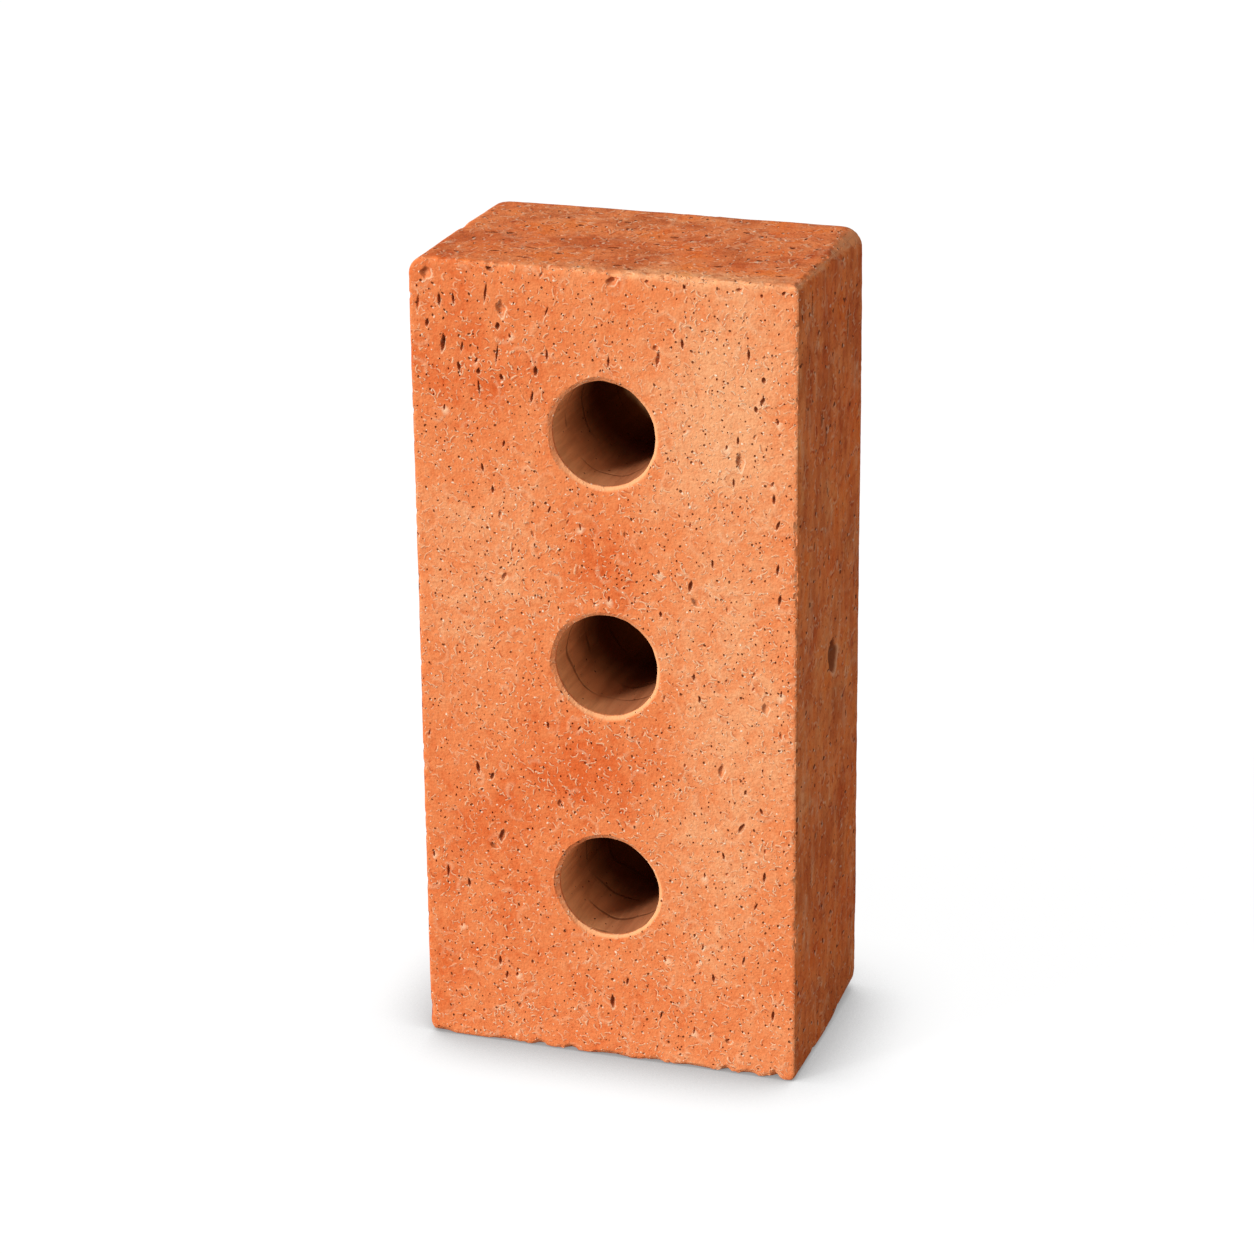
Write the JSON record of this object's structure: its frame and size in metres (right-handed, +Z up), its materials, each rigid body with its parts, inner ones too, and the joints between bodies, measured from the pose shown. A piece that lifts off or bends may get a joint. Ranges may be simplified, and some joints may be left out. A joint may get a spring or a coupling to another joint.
{
  "type": "three-hole clay brick",
  "caption": "Rectangular fired clay brick with a row of round core holes through its broad bed faces and softly worn edges.",
  "frame": {"origin": "centre of the header end that the brick stands on", "axes": "+Z up along the brick's length; X across the bed face (brick width); Y along the core holes, with the front bed face at -Y"},
  "size_m": [0.114, 0.07, 0.24],
  "materials": {
    "fired_clay": "matt, fired"
  },
  "bodies": {
    "root": {"brick": "fired_clay"}
  },
  "joints": []
}
